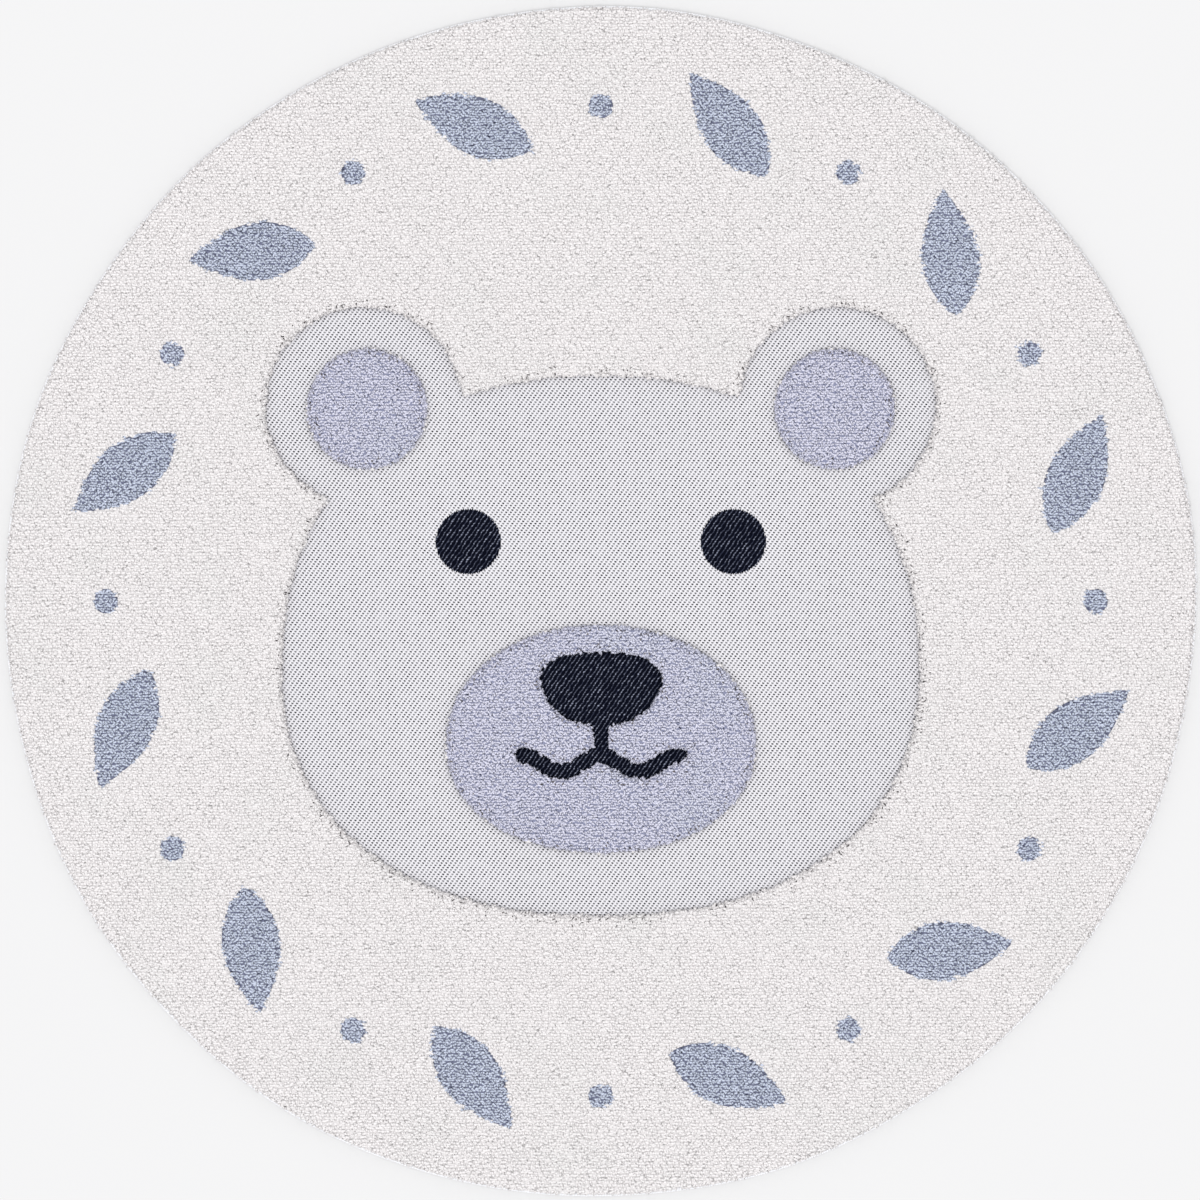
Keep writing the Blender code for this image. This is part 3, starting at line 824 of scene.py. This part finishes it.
def wallCurls():
    # a second, closer sowing along every pile edge, whose curls hang over it and hide its wall
    x, y = lattice(wall["columns"], wall["rows"])
    depth = pileReach(x, y)
    outermost, innermost = wall["zone"]
    keep = (depth > outermost) & (depth < chance.uniform(wall["raggedFrom"], 1, len(x)) * innermost)
    x, y, depth = x[keep], y[keep], depth[keep]
    count = len(x)
    heading = downhill(x, y) + chance.normal(0, wall["fan"], count)
    length = chance.uniform(*wall["length"], count)
    bend = chance.normal(0, wall["bendSpread"], count).clip(-curl["bendMost"], curl["bendMost"])
    bend = bend * curl["bend"]
    halfWidth = chance.uniform(*curl["halfWidth"], count) * wall["slimmer"]
    top = np.interp(depth, wall["topAt"], wall["top"]) + chance.uniform(*wall["topSpread"], count)
    dipNear = chance.uniform(*wall["dipNear"], count)
    dipFar = chance.uniform(*wall["dipFar"], count)
    tone = 1 - curl["toneSpread"] * chance.random(count) ** 2
    colour = np.where(islandDepth(x, y) > -sowing["padMargin"], 2, 0)
    return curlPoints(x, y, top, heading, length, bend, dipNear, dipFar, halfWidth), colour, tone


def sowPile():
    # each curl's part of the yarn's map starts at its own place, so that no two show the same stretch
    sown = [openCurls(1, False), openCurls(sowing["fine"], True), wallCurls()]
    points, colour, tone = (np.concatenate([part[i] for part in sown]) for i in range(3))
    pieces = []
    for kind, (name, material) in enumerate((("cream_pile", creamYarn), ("leaf_pile", greyYarn),
                                             ("face_pile", lilacYarn))):
        which = np.flatnonzero(colour == kind)
        shares = math.ceil(len(which) / curl["perPiece"])
        for share in range(shares):
            mine = which[share::shares]
            # the tone attribute holds each curl's own tone, with painted shade at its ends
            piece = addPiece(f"{name}_{share + 1}", points[mine].reshape(-1, 3), curlMesh(len(mine)),
                             material, {"tone": (tone[mine][:, None] * cornerShadeTone).ravel()})
            starts = chance.uniform(0, curl["mapLength"], (len(mine), 1))
            along = starts + cornerAlong[curlFaces.ravel()]
            around = np.broadcast_to(cornerAround[curlFaces.ravel()], along.shape)
            layer = piece.data.uv_layers.new(name="yarn")
            layer.data.foreach_set("uv", np.stack([along, around], -1).astype(np.float32).ravel())
            pieces.append(piece)
    return pieces


pilePieces = sowPile()

fleck = {
    "share": 0.7, "zone": (-1.2 * mm, 14.0 * mm),
    "length": (3.2 * mm, 6.0 * mm), "halfWidth": (0.55 * mm, 0.85 * mm), "bend": 0.3 * mm,
    "inside": 1.5 * mm,                         # further in than this they stand at the pile's top
    "lowTop": 7.5 * mm, "drop": (-0.35 * mm, 0.3 * mm),
}


def edgeFlecks():
    # where the pile ends at the flatweave, short bits of its dark ground yarn stick up between the curls,
    # and grow rarer further in
    x, y = lattice(sowing["columns"], sowing["rows"])
    depth = pileDepth(x, y)
    low, high = fleck["zone"]
    keep = (depth > low) & (depth < high) & (chance.random(len(x)) < fleck["share"] * (1 - depth / high))
    x, y, depth = x[keep], y[keep], depth[keep]
    count = len(x)
    top = np.where(depth > fleck["inside"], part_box("woven_rug")[1].z, fleck["lowTop"])
    top = top - chance.uniform(*fleck["drop"], count)
    heading = chance.uniform(-np.pi, np.pi, count)
    length = chance.uniform(*fleck["length"], count)
    halfWidth = chance.uniform(*fleck["halfWidth"], count)
    bend = np.full(count, fleck["bend"])
    points = curlPoints(x, y, top, heading, length, bend, bend, bend, halfWidth)
    return addPiece("edge_flecks", points.reshape(-1, 3), curlMesh(count), fleckYarn,
                    {"tone": np.repeat(chance.random(count), curlCorners)})


pilePieces.append(edgeFlecks())

edge = {
    "pitch": 3.6 * mm,         # from one turn of the yarn to the next
    "stepsPerTurn": 3,
    "halfWidth": 2.9 * mm, "halfHeight": 3.2 * mm,
    "bulge": 0.22,             # how far a turn stands out, as a share of the section
    "slant": 0.35,             # how far a turn leans along the rim from its inside to its outside
    "corners": 8, "squareness": 3.0,
}


def oversewnEdge():
    # A squarish oval section, |across|^n + |up|^n = 1, carried round the rim, inset by its half width and
    # standing on the floor. It swells and shrinks with a ridge for each turn of the yarn:
    # 1 + bulge (cos(turns angle + slant 2 pi cos section) - 1) / 2.
    turns = int(round(2 * np.pi * rimRadii.mean() / edge["pitch"]))
    steps = turns * edge["stepsPerTurn"]
    angle = 2 * np.pi * np.arange(steps) / steps
    section = 2 * np.pi * (np.arange(edge["corners"]) + 0.5) / edge["corners"]
    angle, section = np.meshgrid(angle, section, indexing="ij")
    phase = turns * angle + edge["slant"] * 2 * np.pi * np.cos(section)
    swell = 1 + edge["bulge"] * (np.cos(phase) - 1) / 2
    across = np.sign(np.cos(section)) * np.abs(np.cos(section)) ** (2 / edge["squareness"])
    up = np.sign(np.sin(section)) * np.abs(np.sin(section)) ** (2 / edge["squareness"])
    radius = rimRadius(angle) - edge["halfWidth"] * (1 - swell * across)
    height = edge["halfHeight"] * (1 + swell * up)
    points = np.stack([radius * np.cos(angle), radius * np.sin(angle), height], -1).reshape(-1, 3)
    index = np.arange(steps * edge["corners"]).reshape(steps, edge["corners"])
    onward, above = np.roll(index, -1, 0), np.roll(index, -1, 1)
    faces = np.stack([index, onward, np.roll(onward, -1, 1), above], -1).reshape(-1, 4)
    # painted shade: the yarn's colour darkens towards where two turns meet
    tone = 0.5 + 0.5 * np.cos(phase)
    return addPiece("edge_stitches", points, faces, edgeThread, {"tone": tone.ravel()})


edgePiece = oversewnEdge()

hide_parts("woven_rug")
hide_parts("edge_binding")

room = {
    "floorSize": 24, "floorHeight": -0.6 * mm, "floor": "#E1E0DF",
    "sky": (0.97, 0.98, 1.0, 1.0), "skyStrength": 1.10,
    "sunStrength": 0.55, "sunAngle": math.radians(16), "sunTurn": (math.radians(27), math.radians(-9), 0.0),
}


def studio():
    # a matt pale floor, an even sky and one soft sun, which comes in steeply from the chin's side and left
    bpy.ops.mesh.primitive_plane_add(size=room["floorSize"], location=(0, 0, room["floorHeight"]))
    floor = bpy.context.object
    floor.name = "studio_floor"
    material = bpy.data.materials.new("pale_floor")
    material.use_nodes = True
    shader = material.node_tree.nodes["Principled BSDF"]
    shader.inputs["Base Color"].default_value = linear(room["floor"])
    shader.inputs["Roughness"].default_value = 1.0
    shader.inputs["Specular IOR Level"].default_value = 0.0
    floor.data.materials.append(material)

    world = bpy.data.worlds.new("soft_room")
    bpy.context.scene.world = world
    world.use_nodes = True
    sky = world.node_tree.nodes["Background"]
    sky.inputs["Color"].default_value = room["sky"]
    sky.inputs["Strength"].default_value = room["skyStrength"]

    key = bpy.data.lights.new("soft_key", "SUN")
    key.energy = room["sunStrength"]
    key.angle = room["sunAngle"]
    lamp = bpy.data.objects.new("soft_key", key)
    lamp.rotation_euler = room["sunTurn"]
    bpy.context.scene.collection.objects.link(lamp)


view = {
    "height": 6.0,
    "frameWide": 1.6102, "frameHeight": 10 * mm,    # the picture's width, at this height above the floor
    "right": 1.1 * mm, "down": 1.5 * mm,            # how far the rug stands from the picture's middle
}


def topCamera():
    # straight down on the rug, with the lens that makes the picture as wide as the photo's
    camera = bpy.data.cameras.new("camera")
    camera.sensor_width = 36.0
    camera.lens = camera.sensor_width * (view["height"] - view["frameHeight"]) / view["frameWide"]
    holder = bpy.data.objects.new("camera", camera)
    holder.location = (-view["right"], view["down"], view["height"])
    bpy.context.scene.collection.objects.link(holder)
    bpy.context.scene.camera = holder


studio()
topCamera()
bpy.context.scene.view_settings.view_transform = "Standard"

bpy.context.view_layer.update()
print("stage set")
